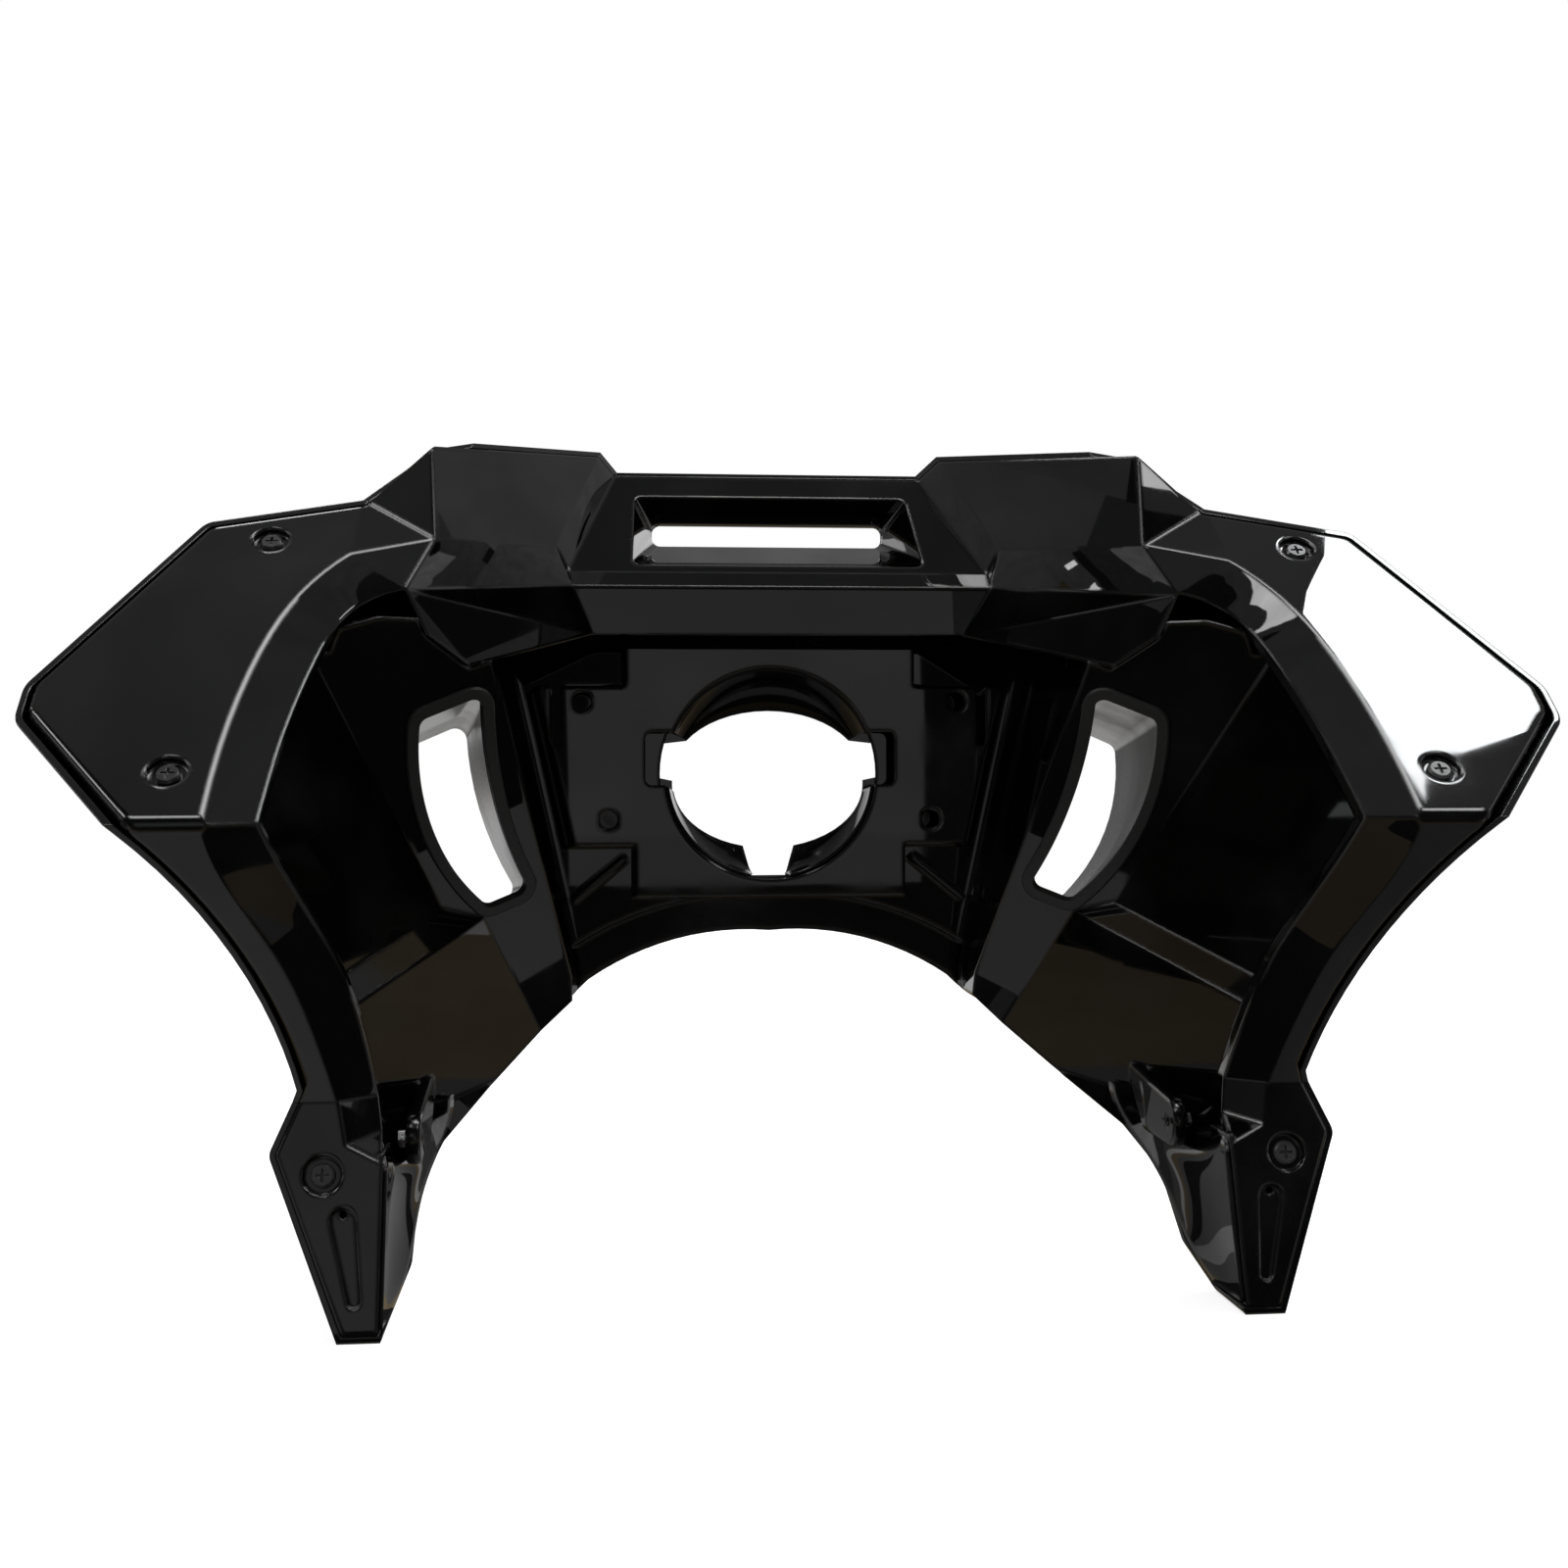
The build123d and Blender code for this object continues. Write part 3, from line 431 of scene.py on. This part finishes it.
moulded = bpy.data.node_groups.new("moulded_skin", "ShaderNodeTree")
group_socket(moulded, "Ripple Scale", "INPUT", 9.0)
group_socket(moulded, "Scuff Scale", "INPUT", 90.0)
group_socket(moulded, "Roughness Low", "INPUT", 0.05)
group_socket(moulded, "Roughness High", "INPUT", 0.2)
group_socket(moulded, "Roughness", "OUTPUT")
group_socket(moulded, "Height", "OUTPUT")
group_socket(moulded, "Haze", "OUTPUT")
nodes = moulded.nodes
links = moulded.links
skin_in = nodes.new("NodeGroupInput")
skin_out = nodes.new("NodeGroupOutput")
skin_place = nodes.new("ShaderNodeTexCoord")
ripple = nodes.new("ShaderNodeTexNoise")
ripple.inputs["Detail"].default_value = 1.0
links.new(skin_place.outputs["Object"], ripple.inputs["Vector"])
links.new(skin_in.outputs["Ripple Scale"], ripple.inputs["Scale"])
links.new(ripple.outputs["Fac"], skin_out.inputs["Height"])
scuff = nodes.new("ShaderNodeTexNoise")
scuff.inputs["Detail"].default_value = 6.0
scuff.inputs["Roughness"].default_value = 0.65
links.new(skin_place.outputs["Object"], scuff.inputs["Vector"])
links.new(skin_in.outputs["Scuff Scale"], scuff.inputs["Scale"])
smudge = nodes.new("ShaderNodeTexNoise")
smudge.inputs["Scale"].default_value = 11.0
smudge.inputs["Detail"].default_value = 2.0
links.new(skin_place.outputs["Object"], smudge.inputs["Vector"])
smudge_range = nodes.new("ShaderNodeMapRange")
smudge_range.inputs["From Min"].default_value = 0.5
smudge_range.inputs["From Max"].default_value = 0.75
links.new(smudge.outputs["Fac"], smudge_range.inputs["Value"])
marks = nodes.new("ShaderNodeMath")
marks.operation = "MULTIPLY"
links.new(scuff.outputs["Fac"], marks.inputs[0])
links.new(smudge_range.outputs["Result"], marks.inputs[1])
marks_range = nodes.new("ShaderNodeMapRange")
marks_range.inputs["From Max"].default_value = 0.6
links.new(marks.outputs[0], marks_range.inputs["Value"])
links.new(skin_in.outputs["Roughness Low"], marks_range.inputs["To Min"])
links.new(skin_in.outputs["Roughness High"], marks_range.inputs["To Max"])
links.new(marks_range.outputs["Result"], skin_out.inputs["Roughness"])
links.new(marks.outputs[0], skin_out.inputs["Haze"])
print("group", moulded.name, [s.name for s in moulded.interface.items_tree])


# %% [markdown]
# ## Edges
# A moulded edge is never sharp: the mould itself has a small radius, and the radius catches
# a thin line of light. The Bevel node rounds the shading by a given radius, and comparing its
# normal with the true one gives a mask of the edges, where gloss wears off first.

# %% Edge group
edges = bpy.data.node_groups.new("rounded_edge", "ShaderNodeTree")
group_socket(edges, "Radius", "INPUT", 0.0015)
group_socket(edges, "Normal", "OUTPUT", kind="NodeSocketVector")
group_socket(edges, "Edge", "OUTPUT")
nodes = edges.nodes
links = edges.links
edge_in = nodes.new("NodeGroupInput")
edge_out = nodes.new("NodeGroupOutput")
edge_round = nodes.new("ShaderNodeBevel")
edge_round.samples = 8
links.new(edge_in.outputs["Radius"], edge_round.inputs["Radius"])
links.new(edge_round.outputs["Normal"], edge_out.inputs["Normal"])
edge_true = nodes.new("ShaderNodeNewGeometry")
edge_dot = nodes.new("ShaderNodeVectorMath")
edge_dot.operation = "DOT_PRODUCT"
links.new(edge_round.outputs["Normal"], edge_dot.inputs[0])
links.new(edge_true.outputs["Normal"], edge_dot.inputs[1])
edge_mask = nodes.new("ShaderNodeMapRange")
edge_mask.inputs["From Min"].default_value = 1.0
edge_mask.inputs["From Max"].default_value = 0.8
links.new(edge_dot.outputs["Value"], edge_mask.inputs["Value"])
links.new(edge_mask.outputs["Result"], edge_out.inputs["Edge"])
print("group", edges.name, [s.name for s in edges.interface.items_tree])


# %% [markdown]
# ## Finishes
# The skin, liner and pan are moulded in black plastic with a polished face, the ducts and
# screws are satin, and the trims are rubber. They differ in colour, gloss and edge radius and
# share everything else, so one function builds them all on the Principled shader. The bowl
# round the lamp also mirrors less, and the two hidden metals turn on Metallic.

# %% Gloss plastic
dust_gain = 1.6
dust_lift = 0.003
ripple_height = 0.002


def gloss_plastic(name, colour, worn, low, high, bump, radius):
    """A moulded finish: colour, worn colour, roughness from low to high, ripple and edge radius."""
    material = bpy.data.materials.new(name)
    material.use_nodes = True
    nodes = material.node_tree.nodes
    links = material.node_tree.links
    shader = nodes["Principled BSDF"]
    skin = nodes.new("ShaderNodeGroup")
    skin.node_tree = moulded
    skin.inputs["Roughness Low"].default_value = low
    skin.inputs["Roughness High"].default_value = high
    links.new(skin.outputs["Roughness"], shader.inputs["Roughness"])
    edge = nodes.new("ShaderNodeGroup")
    edge.node_tree = edges
    edge.inputs["Radius"].default_value = radius
    tone = nodes.new("ShaderNodeMix")
    tone.data_type = "RGBA"
    tone.inputs[mix_first].default_value = (*colour, 1.0)
    tone.inputs[mix_second].default_value = (*worn, 1.0)
    links.new(edge.outputs["Edge"], tone.inputs["Factor"])
    dusty = nodes.new("ShaderNodeMix")
    dusty.data_type = "RGBA"
    dust_colour = [value * dust_gain + dust_lift for value in worn]
    dusty.inputs[mix_second].default_value = (*dust_colour, 1.0)
    links.new(skin.outputs["Haze"], dusty.inputs["Factor"])
    links.new(tone.outputs[mix_result], dusty.inputs[mix_first])
    links.new(dusty.outputs[mix_result], shader.inputs["Base Color"])
    relief = nodes.new("ShaderNodeBump")
    relief.inputs["Strength"].default_value = bump
    relief.inputs["Distance"].default_value = ripple_height
    links.new(skin.outputs["Height"], relief.inputs["Height"])
    links.new(edge.outputs["Normal"], relief.inputs["Normal"])
    links.new(relief.outputs["Normal"], shader.inputs["Normal"])
    return material


black = (0.0012, 0.0013, 0.0014)
worn_black = (0.004, 0.004, 0.0043)
skin_black = gloss_plastic("skin_black", black, worn_black, 0.012, 0.06, 0.05, 0.0012)
liner_black = gloss_plastic("liner_black", black, worn_black, 0.012, 0.06, 0.05, 0.0035)
pan_black = gloss_plastic("pan_black", black, worn_black, 0.02, 0.08, 0.06, 0.0045)
sleeve_black = gloss_plastic("sleeve_black", black, worn_black, 0.1, 0.2, 0.06, 0.003)
sleeve_shader = sleeve_black.node_tree.nodes["Principled BSDF"]
sleeve_shader.inputs["Specular IOR Level"].default_value = 0.2
duct_black = gloss_plastic(
    "duct_black", (0.03, 0.028, 0.025), (0.05, 0.048, 0.045), 0.25, 0.4, 0.2, 0.001
)
trim_rubber = gloss_plastic(
    "trim_rubber", (0.008, 0.008, 0.008), (0.012, 0.012, 0.012), 0.45, 0.6, 0.3, 0.001
)
screw_black = gloss_plastic(
    "screw_black", (0.01, 0.01, 0.01), (0.05, 0.05, 0.05), 0.25, 0.4, 0.2, 0.0004
)
insert_brass = gloss_plastic(
    "insert_brass", (0.6, 0.42, 0.18), (0.7, 0.5, 0.25), 0.25, 0.4, 0.2, 0.0004
)
nut_steel = gloss_plastic(
    "nut_steel", (0.55, 0.55, 0.56), (0.65, 0.65, 0.66), 0.25, 0.4, 0.2, 0.0004
)
for metal in (insert_brass, nut_steel):
    metal.node_tree.nodes["Principled BSDF"].inputs["Metallic"].default_value = 1.0
finish_of = {
    "outer_shell": skin_black,
    "inner_liner": liner_black,
    "inner_pan": pan_black,
    "mounting_plate": pan_black,
    "vent_duct_left": duct_black,
    "vent_duct_right": duct_black,
    "vent_trim_left": trim_rubber,
    "vent_trim_right": trim_rubber,
    "wing_screws": screw_black,
    "leg_screws": screw_black,
    "screw_inserts": insert_brass,
    "lug_nuts": nut_steel,
}
for name, finish in finish_of.items():
    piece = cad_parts[name]
    piece.data.materials.clear()
    piece.data.materials.append(finish)
print("finishes", len(finish_of))


# %% [markdown]
# ## Moulded walls that round off the pan
# Two forms close the gaps between the flat solids. A sleeve leads from the plate's round
# opening to the eye in the front skin, so the lamp sits in a shallow bowl. A web in each leg
# carries the cheek down to the foot in one soft fold. Each is a coarse net of points with a
# subdivision surface to smooth it and a solidify modifier to give it the wall of the moulding,
# because a few listed points shape such a wall faster than cutting it from solids.

# %% Wall helper
wall_thickness = 0.0018
mm_per_metre = 1000.0


def moulded_wall(name, rows, smooth_levels, finish, flip):
    across = len(rows[0])
    points = [tuple(value / mm_per_metre for value in point) for row in rows for point in row]
    faces = []
    for row in range(len(rows) - 1):
        for column in range(across - 1):
            first = row * across + column
            face = (first, first + 1, first + across + 1, first + across)
            faces.append(face[::-1] if flip else face)
    mesh = bpy.data.meshes.new(name)
    mesh.from_pydata(points, [], faces)
    mesh.polygons.foreach_set("use_smooth", [True] * len(faces))
    mesh.materials.append(finish)
    mesh.update()
    piece = bpy.data.objects.new(name, mesh)
    scene.collection.objects.link(piece)
    smooth = piece.modifiers.new("smooth", "SUBSURF")
    smooth.levels = smooth_levels
    smooth.render_levels = smooth_levels
    smooth.boundary_smooth = "PRESERVE_CORNERS"
    wall = piece.modifiers.new("wall", "SOLIDIFY")
    wall.thickness = wall_thickness
    wall.offset = -1.0
    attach(piece, "root")


print("wall of", wall_thickness)


# %% Leg webs
# Each row is one height in the right leg: the height, then across and depth, from the
# leg's face to the arch, in millimetres.
web_rows = [
    (
        -209,
        (252, 250, 258, 263, 256, 241, 219),
        (-246, -240, -214, -187, -158, -134, -103),
    ),
    (
        -218,
        (243.7, 244.5, 250, 252, 246, 234, 218.5),
        (-269, -250, -220, -190, -160, -134, -108),
    ),
    (
        -232,
        (243.7, 243.8, 243.5, 241, 236, 229.5, 222.5),
        (-273, -250, -222, -190, -163, -142, -126),
    ),
    (
        -247,
        (243.7, 243.8, 243, 241, 237.5, 233.5, 230),
        (-278, -252, -228, -200, -178, -164, -155),
    ),
    (
        -262,
        (243.7, 243.7, 242.8, 241, 238.6, 236, 234),
        (-282, -258, -238, -218, -202, -190, -181),
    ),
    (
        -277,
        (243.7, 243.6, 242.6, 241, 239, 237, 235),
        (-287, -266, -250, -235, -221, -210, -202),
    ),
    (
        -292,
        (243.7, 243.4, 242.4, 241, 239.5, 238, 236.5),
        (-292, -275, -262, -250, -240, -231, -224),
    ),
    (
        -305,
        (243.7, 243.6, 243.3, 243, 242.8, 242.6, 242.4),
        (-296, -286, -277, -270, -263, -257, -252),
    ),
]
web_smoothing = 3
for side, flank in (("right", 1), ("left", -1)):
    rows = []
    for height, across, depth in web_rows:
        rows.append([(flank * x, y, height) for x, y in zip(across, depth)])
    moulded_wall("leg_web_" + side, rows, web_smoothing, pan_black, flank > 0)
print("leg webs of", len(web_rows), "rows")

# %% Lamp sleeve
ring_radius = 75.4
ring_depth = 4.0
eye_depth = 24.6
eye_half_width = 70.3
eye_half_height = 46.3
eye_drop = 8.0
eye_reach = 0.86
upper_from = math.radians(23.5)
lower_from = math.radians(-7.0)
lower_to = math.radians(-79.0)
tail_top = (20.0, -52.0)
tail_foot = (13.2, -73.5)
tail_share = 0.72
columns = 49
sleeve_steps = 9
sleeve_smoothing = 1
bowl_fullness = 0.8
eye_from = math.radians(83.0)


def bowl_depth(share):
    rise = math.sin(share * math.pi / 2) ** bowl_fullness
    return ring_depth + (eye_depth - ring_depth) * rise


def sleeve_rows(ring_line, eye_line):
    rows = []
    for step in range(sleeve_steps):
        share = step / (sleeve_steps - 1)
        rows.append(
            [
                (
                    ring[0] + (eye[0] - ring[0]) * share,
                    bowl_depth(share),
                    ring[1] + (eye[1] - ring[1]) * share,
                )
                for ring, eye in zip(ring_line, eye_line)
            ]
        )
    return rows


ring_line = []
eye_line = []
for column in range(columns):
    angle = upper_from + (math.pi - 2 * upper_from) * column / (columns - 1)
    ring = (ring_radius * math.cos(angle), ring_radius * math.sin(angle))
    eye_x = eye_reach * ring[0]
    eye_z = eye_half_height * math.sqrt(1 - (eye_x / eye_half_width) ** 2)
    ring_line.append(ring)
    eye_line.append((eye_x, eye_z))
rows = sleeve_rows(ring_line, eye_line)
moulded_wall("lamp_sleeve_upper", rows, sleeve_smoothing, sleeve_black, False)

for side, flank in (("right", 1), ("left", -1)):
    ring_line = []
    eye_line = []
    for column in range(columns):
        share = column / (columns - 1)
        angle = lower_from + (lower_to - lower_from) * share
        ring_line.append((flank * ring_radius * math.cos(angle), ring_radius * math.sin(angle)))
        if share < tail_share:
            turn = math.asin(tail_top[0] / eye_half_width)
            spread = eye_from + (turn - eye_from) * share / tail_share
            eye_line.append(
                (
                    flank * eye_half_width * math.sin(spread),
                    -eye_drop - eye_half_height * math.cos(spread),
                )
            )
        else:
            part = (share - tail_share) / (1 - tail_share)
            eye_line.append(
                (
                    flank * (tail_top[0] + (tail_foot[0] - tail_top[0]) * part),
                    tail_top[1] + (tail_foot[1] - tail_top[1]) * part,
                )
            )
    rows = sleeve_rows(ring_line, eye_line)
    moulded_wall(
        "lamp_sleeve_" + side, rows, sleeve_smoothing, sleeve_black, flank < 0
    )
print("sleeve of", columns, "columns")
